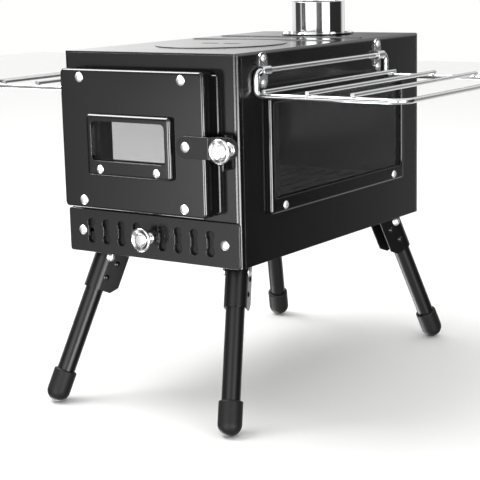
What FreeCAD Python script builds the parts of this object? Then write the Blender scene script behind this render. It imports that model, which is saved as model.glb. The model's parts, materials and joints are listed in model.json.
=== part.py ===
"""Tent wood stove: glazed sides and door, lift-off hotplate, folding racks and folding legs.

Millimetres. +X is to the right of someone who faces the door, +Y runs to the back, +Z is up.
The origin is on the ground under the middle of the firebox.
"""
import FreeCAD, Part
import os
from math import cos, degrees, hypot, radians, sin, sqrt, tan

V = FreeCAD.Vector
CUTTER = 20.0                 # how far cutting shapes run past what they cut

# ---------------------------------------------------------------- firebox
BODY_WIDTH = 200.0
BODY_LENGTH = 340.0
BODY_HEIGHT = 192.0
BODY_CLEARANCE = 147.0        # ground to the lower edge of the walls
SHEET = 1.5                   # wall thickness
SHEET_EDGE = 0.5              # rounding of pressed and painted edges
TOP_BEND = 4.0                # outer radius where the top folds into the sides
END_BEND = 5.0                # outer radius where the end panels fold into the sides
END_DEPTH = 7.0               # an end panel reaches this far along the side
FLOOR_RECESS = 4.0            # floor above the lower edge of the walls
RIB_HEIGHT = 1.0              # pressed ribs across the top
RIB_WIDTH = 4.4
RIB_END = 12.0                # ribs stop this far inside the sides
RIBS_FROM_BACK = (150.0, 98.5)

# ---------------------------------------------------------------- grate
GRATE_HEIGHT = 36.0           # underside above the underside of the floor
GRATE_THICKNESS = 3.0
GRATE_GAP = 3.0               # to the side walls
GRATE_END_GAP = 20.0          # to the outside of the end panels
GRATE_SLOT_WIDTH = 6.0
GRATE_MARGIN_X = 16.5         # plain iron round the slots
GRATE_MARGIN_Y = 15.0
GRATE_BRIDGE = 14.0           # between the rows of slots
GRATE_COLUMNS = 9
GRATE_ROWS = 2
LEDGE_WIDTH = 10.0
LEDGE_HEIGHT = 12.0

# ---------------------------------------------------------------- hotplate
LID_FROM_FRONT = 118.0        # middle of the lid
LID_RADIUS = 64.0
LID_THICKNESS = 2.0
LID_GAP = 0.6                 # round the lid
LID_REST = 0.3                # under the lid
LID_SEAT = 6.0                # seat ring under the lid's edge
LID_WELD = 5.0                # seat ring under the top of the firebox
LID_RISE = 60.0
LIFTER_LENGTH = 20.0          # two finger slots with a bar between them
LIFTER_WIDTH = 7.0
LIFTER_BAR = 6.0

# ---------------------------------------------------------------- flue
FLUE_FROM_BACK = 42.0         # middle of the flue
FLUE_RADIUS = 29.0            # outside of the stub
FLUE_WALL = 1.0
FLUE_HEIGHT = 35.0
FLUE_LIP = 0.45               # rounding of its rim
FLUE_FOOT = 1.0               # foot of the stub, beyond its outside
FLANGE_RADIUS = 38.5
FLANGE_THICKNESS = 1.6
FLUE_SCREW_CIRCLE = 34.2
FLUE_SCREW_COUNT = 6

# ---------------------------------------------------------------- door
DOOR_MARGIN_LEFT = 9.5        # firebox showing round the door
DOOR_MARGIN_RIGHT = 24.5
DOOR_MARGIN_TOP = 15.0
DOOR_MARGIN_BOTTOM = 46.0
DOOR_CORNER = 5.0
DOOR_DEPTH = 18.0             # face of the door in front of the front panel
COVER_THICKNESS = 3.0
COVER_EDGE = 0.9
PAN_INSET = 0.5               # pan inside the edge of the cover
DOORWAY_INSET_X = 16.0        # doorway inside the edges of the door
DOORWAY_INSET_Z = 14.0
DOORWAY_CORNER = 6.0
SEAT_THICKNESS = 3.0          # raised frame round the doorway
SEAT_REACH = 5.0              # frame beyond the right edge of the door
SEAT_SHORT = 3.5              # frame inside the other edges of the door
SEAT_CORNER = 6.0
SEAT_GAP = 0.3
GASKET_WIDTH = 8.0
DOOR_RIVET_INSET_X = 24.2     # from the edges of the door
DOOR_RIVET_INSET_Z = 7.9

# ---------------------------------------------------------------- door hinges
HINGE_SPACING = 84.0
HINGE_BARREL = 3.0            # radius
HINGE_PIN = 1.5               # radius
HINGE_PLAY = 0.06
HINGE_OFFSET = 3.5            # pin to the left of the door's edge
HINGE_STAND = 5.0             # pin in front of the front panel
HINGE_LEAF = 1.5
BODY_KNUCKLE = 12.0
DOOR_KNUCKLE = 12.0
KNUCKLE_GAP = 0.4
PIN_END = 1.5

# ---------------------------------------------------------------- windows
WINDOW_PROUD = 5.5
WINDOW_SHEET = 1.2
WINDOW_EDGE = 1.0             # rounding of the pressed frame
GLASS_THICKNESS = 3.5
GLASS_LAP = 3.0               # glass beyond the opening of its frame
GLASS_GAP = 0.3
FRAME_CORNER = 3.0
OPENING_CORNER = 5.0
LIGHT_SETBACK = 1.0           # the wall shows this much inside the frame's opening
DOOR_FRAME_SIDE = 34.25       # frame inside the edges of the door
DOOR_FRAME_ABOVE = 40.75
DOOR_FRAME_BELOW = 32.75
DOOR_BAND_SIDE = 6.2
DOOR_BAND_BOTTOM = 14.3
DOOR_BAND_TOP = 6.4
SIDE_FRAME_INSET = 43.7       # from the ends of the firebox
SIDE_FRAME_RISE = 43.0        # above the lower edge of the walls
SIDE_FRAME_DROP = 41.0        # below the top of the firebox
SIDE_BAND_END = 5.2
SIDE_BAND_BOTTOM = 14.3
SIDE_BAND_TOP = 6.0
DOOR_SCREW_INSET = 16.0       # from the ends of the frame
SIDE_SCREW_INSET = 22.3
FRAME_SCREW_RISE = 6.6        # above the lower edge of the frame

# ---------------------------------------------------------------- latch
LATCH_INSET = 19.5            # pivot rivet to the right edge of the door
LATCH_DROP = 1.0              # below the middle of the door
LATCH_REACH = 45.0            # rivet to knob
LATCH_END = 7.0               # strap beyond the knob
LATCH_WIDTH = 20.0
LATCH_SHEET = 2.0
LATCH_FLAT = 24.0             # rivet to the step in the strap
LATCH_STEP = 6.0
LATCH_FOLD = 1.5              # radius of the folds at the step
LATCH_GAP = 0.3
LATCH_PLAY = 0.06
LATCH_SHANK = 2.5
LATCH_KNOB_HEIGHT = 21.0
KEEPER_OFFSET = 6.0           # from the right edge of the door
KEEPER_WIDTH = 13.0
KEEPER_TOP = 11.5             # above the pivot
KEEPER_BOTTOM = 19.5          # below the pivot
KEEPER_SHEET = 1.6
KEEPER_SHELF = 3.0            # shelf in front of the strap
KEEPER_GAP = 0.4

# ---------------------------------------------------------------- air intake
INTAKE_HEIGHT = 42.0
INTAKE_SHEET = 2.0
INTAKE_CORNER = 3.0
INTAKE_RISE = 21.0            # slots and rivets above the lower edge of the walls
INTAKE_RIVET_INSET = 16.6     # from the sides
VENT_END = 10.3               # last slot on the left to its rivet
VENT_LEFT = -18.2             # nearest slots on each side of the knob
VENT_RIGHT = 12.1
VENT_COUNT = 4                # on each side
VENT_HEIGHT = 24.0
VENT_LOBE = 4.3               # half width of the lobes
VENT_WAIST = 3.2              # half width of the waist
DAMPER_SHEET = 1.0
DAMPER_GAP = 0.35
DAMPER_HEIGHT = 30.0
DAMPER_END = 1.2              # damper beyond its guide slots
DAMPER_KNOB_X = -1.0
GUIDE_PLAY = 0.15
INTAKE_SHANK = 1.5
INTAKE_TAIL = 3.5

# ---------------------------------------------------------------- knobs, rivets and screws
KNOB_RADIUS = 11.2
KNOB_HEIGHT = 16.0
KNOB_DISC = 4.5
KNOB_BASE_RADIUS = 6.2
KNOB_BASE = 4.0
KNOB_NECK = 4.0
KNOB_DISH = 6.6
KNOB_SHANK = 2.0
KNOB_EDGE = 1.3
DISH_DEPTH = 1.0
KNOB_SCREW_RADIUS = 5.6
KNOB_SCREW_HEIGHT = 1.8
RIVET_RADIUS = 4.7
RIVET_HEIGHT = 2.4
RIVET_SHANK = 2.0
SCREW_RADIUS = 3.9
SCREW_HEIGHT = 2.2
SCREW_SHANK = 1.8
SMALL_RADIUS = 3.2
SMALL_HEIGHT = 2.0
SMALL_SHANK = 1.5
SLOT_WIDTH = 1.0
SLOT_DEPTH = 0.9
TAIL = 2.0                    # shank beyond the last sheet

# ---------------------------------------------------------------- racks
RACK_REACH = 150.0            # outer wire from the wall
RACK_FROM_FRONT = 25.0
RACK_FROM_BACK = 78.0
RACK_WIRE = 2.5               # radius
RACK_BAR = 2.0                # radius
RACK_WELD = 0.4               # bars sunk into the wires where they are welded
RAIL_DROP = 17.0              # below the top of the firebox
RACK_ARM = 21.5               # rail to the plane of the rack
RACK_BEND = 6.0
RACK_CORNER = 14.0
BAR_FIRST = 12.0              # from the wall
BAR_PITCH = 45.0
BAR_COUNT = 3
RAIL_PLAY = 0.35
CLIP_INSET = 14.0             # clip inside the end of the rack
CLIP_WIDTH = 12.8
CLIP_SHEET = 1.5
CLIP_SCREW = 11.0             # screws above and below the rail
CLIP_LUG = 5.2

# ---------------------------------------------------------------- legs
LEG_INSET_X = 22.0            # pivot to the outside of the firebox
LEG_INSET_Y = 24.0
LEG_PIVOT_DROP = 8.5          # below the lower edge of the walls
LEG_SPLAY = 24.0              # degrees from upright
LEG_TOE = 25.0                # degrees from the length of the stove
LEG_RADIUS = 8.75
LEG_WALL = 1.2
LEG_PLAY = 0.5
LEG_FOLD = 110.0              # degrees
BRACKET_SHEET = 1.6
BRACKET_REACH = 19.0          # cheeks inward of the leg's axis
BRACKET_LENGTH = 34.0         # below the pivot, along the leg
BRACKET_CHAMFER = 7.0
BRACKET_BASE_LENGTH = 44.0
BRACKET_BASE_WIDTH = 32.0
PIVOT_RADIUS = 2.5
PIVOT_PLAY = 0.08
PIVOT_HEAD = 4.6
PIVOT_HEAD_HEIGHT = 2.6
STUD_UPPER = (9.4, -5.0)      # inward of the pivot and along the leg
STUD_LOWER = (3.0, -20.5)
STUD_RADIUS = 2.3
STUD_HEIGHT = 1.3
FOOT_RADIUS = 11.2
FOOT_LENGTH = 32.0
FOOT_SOCKET = 20.0
FOOT_EDGE = 1.5

# ---------------------------------------------------------------- worked out from the above
HALF_WIDTH = BODY_WIDTH / 2
HALF_LENGTH = BODY_LENGTH / 2
BOTTOM = BODY_CLEARANCE
TOP = BOTTOM + BODY_HEIGHT
FRONT = -HALF_LENGTH
LID_PLACE = FRONT + LID_FROM_FRONT
FLUE_PLACE = HALF_LENGTH - FLUE_FROM_BACK
FLOOR = BOTTOM + FLOOR_RECESS
GRATE_WIDTH = BODY_WIDTH - 2 * SHEET - 2 * GRATE_GAP
GRATE_LENGTH = BODY_LENGTH - 2 * GRATE_END_GAP
GRATE_SLOT_LENGTH = (GRATE_LENGTH - 2 * GRATE_MARGIN_Y + GRATE_BRIDGE) / GRATE_ROWS - GRATE_BRIDGE
GRATE_PITCH = (GRATE_WIDTH - 2 * GRATE_MARGIN_X - GRATE_SLOT_WIDTH) / (GRATE_COLUMNS - 1)
GRATE_BOTTOM = FLOOR + GRATE_HEIGHT
DOOR_FACE = FRONT - DOOR_DEPTH
DOOR_LEFT = -HALF_WIDTH + DOOR_MARGIN_LEFT
DOOR_RIGHT = HALF_WIDTH - DOOR_MARGIN_RIGHT
DOOR_WIDTH = DOOR_RIGHT - DOOR_LEFT
DOOR_HEIGHT = BODY_HEIGHT - DOOR_MARGIN_TOP - DOOR_MARGIN_BOTTOM
DOOR_X = (DOOR_LEFT + DOOR_RIGHT) / 2
DOOR_Z = BOTTOM + DOOR_MARGIN_BOTTOM + DOOR_HEIGHT / 2
PAN_BACK = FRONT - SEAT_THICKNESS - SEAT_GAP
PAN_DEPTH = DOOR_DEPTH - COVER_THICKNESS - SEAT_THICKNESS - SEAT_GAP
HINGE_X = DOOR_LEFT - HINGE_OFFSET
HINGE_Y = FRONT - HINGE_STAND
DOOR_FRAME_WIDTH = DOOR_WIDTH - 2 * DOOR_FRAME_SIDE
DOOR_FRAME_HEIGHT = DOOR_HEIGHT - DOOR_FRAME_ABOVE - DOOR_FRAME_BELOW
DOOR_FRAME_Z = DOOR_Z + (DOOR_FRAME_BELOW - DOOR_FRAME_ABOVE) / 2
SIDE_FRAME_LENGTH = BODY_LENGTH - 2 * SIDE_FRAME_INSET
SIDE_FRAME_HEIGHT = BODY_HEIGHT - SIDE_FRAME_RISE - SIDE_FRAME_DROP
SIDE_FRAME_Z = BOTTOM + SIDE_FRAME_RISE + SIDE_FRAME_HEIGHT / 2
LATCH_X = DOOR_RIGHT - LATCH_INSET
LATCH_Z = DOOR_Z - LATCH_DROP
STRAP_TOP = LATCH_GAP + LATCH_SHEET
KNOB_SEAT = STRAP_TOP - LATCH_STEP
INTAKE_Z = BOTTOM + INTAKE_RISE
INTAKE_FACE = FRONT - INTAKE_SHEET
INTAKE_RIVET_X = HALF_WIDTH - INTAKE_RIVET_INSET
DAMPER_FRONT = FRONT + SHEET + DAMPER_GAP
VENT_PITCH = (INTAKE_RIVET_X + VENT_LEFT - VENT_END) / (VENT_COUNT - 1)
DAMPER_TRAVEL = VENT_PITCH / 2
RAIL_X = HALF_WIDTH + RACK_WIRE + RAIL_PLAY
RAIL_Z = TOP - RAIL_DROP
RACK_Z = RAIL_Z - RACK_ARM
RACK_FRONT = FRONT + RACK_FROM_FRONT
RACK_BACK = HALF_LENGTH - RACK_FROM_BACK
LEG_X = HALF_WIDTH - LEG_INSET_X
LEG_Y = HALF_LENGTH - LEG_INSET_Y
PIVOT_Z = BOTTOM - LEG_PIVOT_DROP
LEG_LENGTH = (PIVOT_Z - FOOT_RADIUS) / cos(radians(LEG_SPLAY))
TUBE_LENGTH = LEG_LENGTH - FOOT_LENGTH + FOOT_RADIUS + FOOT_SOCKET
BRACKET_INNER = LEG_RADIUS + LEG_PLAY
BRACKET_OUTER = BRACKET_INNER + BRACKET_SHEET


# ---------------------------------------------------------------- helpers
def block(x0, x1, y0, y1, z0, z1):
    return Part.makeBox(x1 - x0, y1 - y0, z1 - z0, V(x0, y0, z0))


def rod(start, end, radius):
    axis = end - start
    return Part.makeCylinder(radius, axis.Length, start, axis)


def disc(radius, z0, z1, x=0.0, y=0.0):
    return Part.makeCylinder(radius, z1 - z0, V(x, y, z0))


def fused(shapes):
    first, *rest = shapes
    return first.fuse(rest).removeSplitter() if rest else first


def group(shapes):
    return Part.makeCompound(shapes)


def placed(shape, x, y, z, origin):
    """Copy of a shape whose own axes point along the directions x, y and z, at origin."""
    matrix = FreeCAD.Matrix(x.x, y.x, z.x, origin.x, x.y, y.y, z.y, origin.y,
                            x.z, y.z, z.z, origin.z, 0, 0, 0, 1)
    copy = shape.copy()
    copy.Placement = FreeCAD.Placement(matrix).multiply(copy.Placement)
    return copy


def on_front(shape, x, z, face=FRONT):
    """What is drawn face up in x and y stands up and looks forward."""
    return placed(shape, V(1, 0, 0), V(0, 0, 1), V(0, -1, 0), V(x, face, z))


def on_right(shape, y, z, face=HALF_WIDTH):
    return placed(shape, V(0, 1, 0), V(0, 0, 1), V(1, 0, 0), V(face, y, z))


def on_left(shape):
    return shape.mirror(V(0, 0, 0), V(1, 0, 0))


def at_back(shape):
    return shape.mirror(V(0, 0, 0), V(0, 1, 0))


def plate(width, height, corner, z0, z1, edge=0.0):
    """Rounded rectangle about the origin, from z0 to z1; edge rounds its upper rim."""
    x, y = width / 2, height / 2
    slab = block(-x, x, -y, y, z0, z1)
    uprights = [e for e in slab.Edges if e.BoundBox.ZLength > (z1 - z0) / 2]
    slab = slab.makeFillet(corner, uprights)
    return slab.makeFillet(edge, edges_at(slab, z1)) if edge else slab


def stadium(length, width, z0, z1, x=0.0):
    """Slot shape with round ends, along x."""
    r = width / 2
    half = length / 2 - r
    return fused([block(x - half, x + half, -r, r, z0, z1),
                  disc(r, z0, z1, x - half), disc(r, z0, z1, x + half)])


def lathe(points):
    """Solid of revolution about z, from its outline in (radius, z)."""
    outline = Part.makePolygon([V(r, 0, z) for r, z in points + points[:1]])
    return Part.Face(outline).revolve(V(0, 0, 0), V(0, 0, 1), 360)


def dome(radius, height):
    """Low domed head that stands on z = 0."""
    ball = (radius ** 2 + height ** 2) / (2 * height)
    return Part.makeSphere(ball, V(0, 0, height - ball)).common(disc(radius + 1, 0, height + 1))


def fastener(radius, height, shank, reach, slotted=False):
    """Rivet or screw: domed head on z = 0, shank down to -reach."""
    head = dome(radius, height)
    if slotted:
        head = head.cut(block(-radius, radius, -SLOT_WIDTH / 2, SLOT_WIDTH / 2,
                              height - SLOT_DEPTH, height + 1))
    return head.fuse(disc(shank, -reach, 0)).removeSplitter()


def edges_at(shape, z):
    """Edges that lie flat at one height."""
    return [e for e in shape.Edges if abs(e.BoundBox.ZMin - z) < 0.001 and abs(e.BoundBox.ZMax - z) < 0.001]


def copies(shape, places):
    """The shape once at each (x, y)."""
    return [shape.translated(V(x, y, 0)) for x, y in places]


# ---------------------------------------------------------------- firebox
def firebox_solid(inset):
    """Outside of the firebox, or its inside when inset by the sheet."""
    x = HALF_WIDTH - inset
    y = HALF_LENGTH - inset
    top = TOP - inset
    slab = block(-x, x, -y, y, BOTTOM - inset, top)
    ends = [e for e in slab.Edges if e.BoundBox.ZLength > 1]
    slab = slab.makeFillet(max(END_BEND - inset, 0.3), ends)
    arch = block(-x, x, -y, y, BOTTOM - inset, top)
    shoulders = [e for e in arch.Edges if e.BoundBox.YLength > 1 and e.BoundBox.ZMin > top - 0.1]
    arch = arch.makeFillet(max(TOP_BEND - inset, 0.3), shoulders)
    body = slab.common(arch).removeSplitter()
    return body.fuse(top_ribs(top)).removeSplitter()


def top_ribs(top):
    ball = (RIB_WIDTH ** 2 / 4 + RIB_HEIGHT ** 2) / (2 * RIB_HEIGHT)
    x = HALF_WIDTH - RIB_END - ball
    ribs = []
    for y in [HALF_LENGTH - place for place in RIBS_FROM_BACK]:
        z = top + RIB_HEIGHT - ball
        bar = fused([rod(V(-x, y, z), V(x, y, z), ball),
                     Part.makeSphere(ball, V(-x, y, z)), Part.makeSphere(ball, V(x, y, z))])
        ribs.append(bar.common(block(-HALF_WIDTH, HALF_WIDTH, y - ball, y + ball, top, top + ball)))
    return ribs


def front_region():
    """What of the folded sheet belongs to the front panel."""
    x = HALF_WIDTH - max(TOP_BEND, END_BEND)
    flanges = block(-HALF_WIDTH, HALF_WIDTH, FRONT, FRONT + END_DEPTH, BOTTOM, TOP - TOP_BEND)
    return flanges.fuse(block(-x, x, FRONT, FRONT + SHEET, BOTTOM, TOP - SHEET))


def window_light(width, height, side, bottom, top, reach):
    """Opening of a window frame, drawn about the middle of the frame."""
    opening = plate(width - 2 * side, height - bottom - top, OPENING_CORNER, -reach, reach)
    return opening.translated(V(0, (bottom - top) / 2, 0))


def window_frame(width, height, side, bottom, top, screws):
    shell = plate(width, height, FRAME_CORNER, 0, WINDOW_PROUD, WINDOW_EDGE)
    pocket = plate(width - 2 * WINDOW_SHEET, height - 2 * WINDOW_SHEET,
                   max(FRAME_CORNER - WINDOW_SHEET, 0.3), -1, WINDOW_PROUD - WINDOW_SHEET)
    holes = copies(disc(SCREW_SHANK, 0, WINDOW_PROUD + 1), screws)
    shell = shell.cut([pocket, window_light(width, height, side, bottom, top, CUTTER)])
    inner = [e for e in edges_at(shell, WINDOW_PROUD)
             if abs(e.BoundBox.Center.x) < width / 2 - side + 1
             and e.BoundBox.YMax < height / 2 - top + 1 and e.BoundBox.YMin > bottom - height / 2 - 1]
    return shell.makeFillet(SHEET_EDGE, inner).cut(holes)


def window_glass(width, height, side, bottom, top):
    pane = plate(width - 2 * side + 2 * GLASS_LAP, height - bottom - top + 2 * GLASS_LAP,
                 OPENING_CORNER, GLASS_GAP, GLASS_GAP + GLASS_THICKNESS)
    return pane.translated(V(0, (bottom - top) / 2, 0))


SIDE_WINDOW = (SIDE_FRAME_LENGTH, SIDE_FRAME_HEIGHT, SIDE_BAND_END, SIDE_BAND_BOTTOM, SIDE_BAND_TOP)
SIDE_LIGHT = (SIDE_FRAME_LENGTH, SIDE_FRAME_HEIGHT, SIDE_BAND_END + LIGHT_SETBACK,
              SIDE_BAND_BOTTOM + LIGHT_SETBACK, SIDE_BAND_TOP + LIGHT_SETBACK)
SIDE_SCREWS = [(side * (SIDE_FRAME_LENGTH / 2 - SIDE_SCREW_INSET), FRAME_SCREW_RISE - SIDE_FRAME_HEIGHT / 2)
               for side in (-1, 1)]
DOOR_WINDOW = (DOOR_FRAME_WIDTH, DOOR_FRAME_HEIGHT, DOOR_BAND_SIDE, DOOR_BAND_BOTTOM, DOOR_BAND_TOP)
DOOR_LIGHT = (DOOR_FRAME_WIDTH, DOOR_FRAME_HEIGHT, DOOR_BAND_SIDE + LIGHT_SETBACK,
              DOOR_BAND_BOTTOM + LIGHT_SETBACK, DOOR_BAND_TOP + LIGHT_SETBACK)
DOOR_SCREWS = [(side * (DOOR_FRAME_WIDTH / 2 - DOOR_SCREW_INSET), FRAME_SCREW_RISE - DOOR_FRAME_HEIGHT / 2)
               for side in (-1, 1)]
CLIP_PLACES = (RACK_FRONT + CLIP_INSET, RACK_BACK - CLIP_INSET)
CLIP_SCREWS = [(y, z) for y in CLIP_PLACES for z in (RAIL_Z - CLIP_SCREW, RAIL_Z + CLIP_SCREW)]
FLUE_SCREWS = [(FLUE_SCREW_CIRCLE * sin(radians(a)), FLUE_PLACE + FLUE_SCREW_CIRCLE * cos(radians(a)))
               for a in [360.0 * n / FLUE_SCREW_COUNT for n in range(FLUE_SCREW_COUNT)]]


def side_holes():
    """Window opening and screw holes, through both side walls."""
    reach = BODY_WIDTH
    cutters = [on_right(window_light(*SIDE_LIGHT, reach), 0, SIDE_FRAME_Z, 0)]
    for y, z in SIDE_SCREWS:
        cutters.append(rod(V(-reach, y, SIDE_FRAME_Z + z), V(reach, y, SIDE_FRAME_Z + z), SCREW_SHANK))
    for y, z in CLIP_SCREWS:
        cutters.append(rod(V(-reach, y, z), V(reach, y, z), SMALL_SHANK))
    return cutters


def firebox_shell(hollow):
    above = TOP + RIB_HEIGHT + 1
    cutters = [front_region(), at_back(front_region()),
               disc(LID_RADIUS + LID_GAP, FLOOR, above, 0, LID_PLACE),
               disc(FLUE_RADIUS - FLUE_WALL, FLOOR, above, 0, FLUE_PLACE)]
    cutters += copies(disc(SMALL_SHANK, FLOOR, above), FLUE_SCREWS)
    return hollow.cut(cutters + side_holes()).removeSplitter()


def vent(z0, z1):
    """Peanut-shaped air slot: two lobes and a waist."""
    y = VENT_HEIGHT / 2 - VENT_LOBE
    return fused([disc(VENT_LOBE, z0, z1, 0, y), disc(VENT_LOBE, z0, z1, 0, -y),
                  block(-VENT_WAIST, VENT_WAIST, -y, y, z0, z1)])


def vents(z0, z1):
    xs = [VENT_LEFT - n * VENT_PITCH for n in range(VENT_COUNT)]
    xs += [VENT_RIGHT + n * VENT_PITCH for n in range(VENT_COUNT)]
    return copies(vent(z0, z1), [(x, 0) for x in xs])


def intake_holes():
    """Air slots, rivet holes and the slot of the damper's knob, about the middle of the panel."""
    cutters = vents(-CUTTER, CUTTER)
    cutters += copies(disc(INTAKE_SHANK, -CUTTER, CUTTER), [(-INTAKE_RIVET_X, 0), (INTAKE_RIVET_X, 0)])
    width = 2 * (KNOB_SHANK + GUIDE_PLAY + DAMPER_GAP)
    cutters.append(stadium(DAMPER_TRAVEL + width, width, -CUTTER, CUTTER, DAMPER_KNOB_X - DAMPER_TRAVEL / 2))
    return cutters


def doorway(z0, z1):
    return plate(DOOR_WIDTH - 2 * DOORWAY_INSET_X, DOOR_HEIGHT - 2 * DOORWAY_INSET_Z, DOORWAY_CORNER, z0, z1)


def keeper_rivets():
    x = DOOR_RIGHT + KEEPER_OFFSET + (KEEPER_WIDTH - KEEPER_SHEET) / 2
    shelf = LATCH_Z - LATCH_WIDTH / 2 - KEEPER_GAP
    return [(x, (shelf + LATCH_Z + KEEPER_TOP) / 2), (x, (shelf - KEEPER_SHEET + LATCH_Z - KEEPER_BOTTOM) / 2)]


def front_panel(hollow):
    cutters = [on_front(doorway(-CUTTER, CUTTER), DOOR_X, DOOR_Z)]
    cutters += [on_front(hole, 0, INTAKE_Z) for hole in intake_holes()]
    cutters += [on_front(disc(SMALL_SHANK, -CUTTER, CUTTER), x, z) for x, z in keeper_rivets()]
    return hollow.common(front_region()).cut(cutters)


def door_seat():
    width = DOOR_WIDTH - SEAT_SHORT + SEAT_REACH
    ring = plate(width, DOOR_HEIGHT - 2 * SEAT_SHORT, SEAT_CORNER, 0, SEAT_THICKNESS, SHEET_EDGE)
    ring = ring.translated(V((SEAT_REACH + SEAT_SHORT) / 2, 0, 0)).cut(doorway(-1, CUTTER))
    return on_front(ring, DOOR_X, DOOR_Z)


def floor_plate():
    slab = plate(BODY_WIDTH - 2 * SHEET, BODY_LENGTH - 2 * SHEET, max(END_BEND - SHEET, 0.3),
                 FLOOR, FLOOR + SHEET)
    return slab


def grate():
    bars = block(-GRATE_WIDTH / 2, GRATE_WIDTH / 2, -GRATE_LENGTH / 2, GRATE_LENGTH / 2, 0, GRATE_THICKNESS)
    slot = stadium(GRATE_SLOT_LENGTH, GRATE_SLOT_WIDTH, -1, GRATE_THICKNESS + 1)
    slot.rotate(V(0, 0, 0), V(0, 0, 1), 90)
    xs = [(n - (GRATE_COLUMNS - 1) / 2) * GRATE_PITCH for n in range(GRATE_COLUMNS)]
    ys = [(n - (GRATE_ROWS - 1) / 2) * (GRATE_SLOT_LENGTH + GRATE_BRIDGE) for n in range(GRATE_ROWS)]
    places = [(x, y) for x in xs for y in ys]
    return bars.cut(copies(slot, places)).translated(V(0, 0, GRATE_BOTTOM))


def grate_ledges():
    """Angles welded along the side walls, under the grate."""
    wall = HALF_WIDTH - SHEET
    half = GRATE_LENGTH / 2
    angle = block(wall - LEDGE_WIDTH, wall, -half, half, GRATE_BOTTOM - SHEET, GRATE_BOTTOM)
    angle = angle.fuse(block(wall - SHEET, wall, -half, half, GRATE_BOTTOM - LEDGE_HEIGHT, GRATE_BOTTOM))
    angle = angle.removeSplitter()
    return group([angle, on_left(angle)])


# ---------------------------------------------------------------- hotplate and flue
def lid_seat():
    top = TOP - SHEET
    ring = disc(LID_RADIUS + LID_GAP + LID_WELD, top - SHEET, top, 0, LID_PLACE)
    return ring.cut(disc(LID_RADIUS - LID_SEAT, top - CUTTER, top + 1, 0, LID_PLACE))


def hotplate_lid():
    bottom = TOP - SHEET + LID_REST
    top = bottom + LID_THICKNESS
    lid = disc(LID_RADIUS, bottom, top)
    rim = [e for e in lid.Edges if e.BoundBox.ZMin > top - 0.01]
    lid = lid.makeFillet(0.4, rim)
    x = (LIFTER_BAR + LIFTER_LENGTH) / 2
    slots = [stadium(LIFTER_LENGTH, LIFTER_WIDTH, bottom - 1, top + 1, side * x) for side in (-1, 1)]
    return lid.cut(slots).translated(V(0, LID_PLACE, 0))


def flue_collar():
    tube = disc(FLUE_RADIUS, TOP, TOP + FLUE_HEIGHT)
    foot = disc(FLUE_RADIUS + FLUE_FOOT, TOP, TOP + FLANGE_THICKNESS)
    tube = tube.fuse(foot).cut(disc(FLUE_RADIUS - FLUE_WALL, TOP - 1, TOP + FLUE_HEIGHT + 1))
    tube = tube.makeFillet(FLUE_LIP, edges_at(tube, TOP + FLUE_HEIGHT))
    return tube.translated(V(0, FLUE_PLACE, 0))


def flue_flange():
    ring = disc(FLANGE_RADIUS, TOP, TOP + FLANGE_THICKNESS, 0, FLUE_PLACE)
    holes = copies(disc(SMALL_SHANK, TOP - 1, TOP + CUTTER), FLUE_SCREWS)
    return ring.cut([disc(FLUE_RADIUS + FLUE_FOOT, TOP - 1, TOP + CUTTER, 0, FLUE_PLACE)] + holes)


def flue_screws():
    screw = fastener(SMALL_RADIUS, SMALL_HEIGHT, SMALL_SHANK, FLANGE_THICKNESS + SHEET + TAIL, True)
    return group([s.translated(V(0, 0, TOP + FLANGE_THICKNESS)) for s in copies(screw, FLUE_SCREWS)])


# ---------------------------------------------------------------- air intake
def knob(height):
    """Turned mushroom knob that stands on z = 0."""
    under = height - KNOB_DISC
    edge = KNOB_EDGE
    return lathe([(0, 0), (KNOB_BASE_RADIUS, 0), (KNOB_BASE_RADIUS, KNOB_BASE - 1),
                  (KNOB_BASE_RADIUS - 1, KNOB_BASE), (KNOB_NECK, KNOB_BASE + 1), (KNOB_NECK, under - 1),
                  (KNOB_NECK + 2, under), (KNOB_RADIUS - edge, under + edge * 0.6),
                  (KNOB_RADIUS, under + edge * 1.6), (KNOB_RADIUS, height - edge * 0.8),
                  (KNOB_RADIUS - edge * 0.4, height - edge * 0.2), (KNOB_RADIUS - edge * 1.2, height),
                  (KNOB_DISH, height - 0.3), (KNOB_DISH - 0.6, height - DISH_DEPTH), (0, height - DISH_DEPTH)])


def intake_panel():
    strip = plate(BODY_WIDTH, INTAKE_HEIGHT, INTAKE_CORNER, 0, INTAKE_SHEET, SHEET_EDGE)
    strip = strip.translated(V(0, INTAKE_HEIGHT / 2 - INTAKE_RISE, 0)).cut(intake_holes())
    return on_front(strip, 0, INTAKE_Z)


def intake_rivets():
    behind = SHEET + INTAKE_SHEET + 2 * DAMPER_GAP + DAMPER_SHEET
    rivet = fastener(RIVET_RADIUS, RIVET_HEIGHT, INTAKE_SHANK, behind)
    rivet = rivet.fuse(disc(INTAKE_TAIL, -behind - SHEET, -behind)).removeSplitter()
    return group([on_front(rivet, x, INTAKE_Z, INTAKE_FACE) for x in (-INTAKE_RIVET_X, INTAKE_RIVET_X)])


def damper():
    """Slotted sheet behind the front panel; its rivets' guide slots set the travel."""
    width = 2 * (INTAKE_SHANK + GUIDE_PLAY)
    left = -INTAKE_RIVET_X - width / 2 - DAMPER_END
    right = INTAKE_RIVET_X + DAMPER_TRAVEL + width / 2 + DAMPER_END
    sheet = block(left, right, -DAMPER_HEIGHT / 2, DAMPER_HEIGHT / 2, -DAMPER_SHEET, 0)
    guides = [stadium(DAMPER_TRAVEL + width, width, -CUTTER, CUTTER, side * INTAKE_RIVET_X + DAMPER_TRAVEL / 2)
              for side in (-1, 1)]
    slots = [v.translated(V(DAMPER_TRAVEL, 0, 0)) for v in vents(-CUTTER, CUTTER)]
    sheet = sheet.cut(guides + slots + [disc(KNOB_SHANK, -CUTTER, CUTTER, DAMPER_KNOB_X)])
    return on_front(sheet, 0, INTAKE_Z, DAMPER_FRONT)


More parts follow.
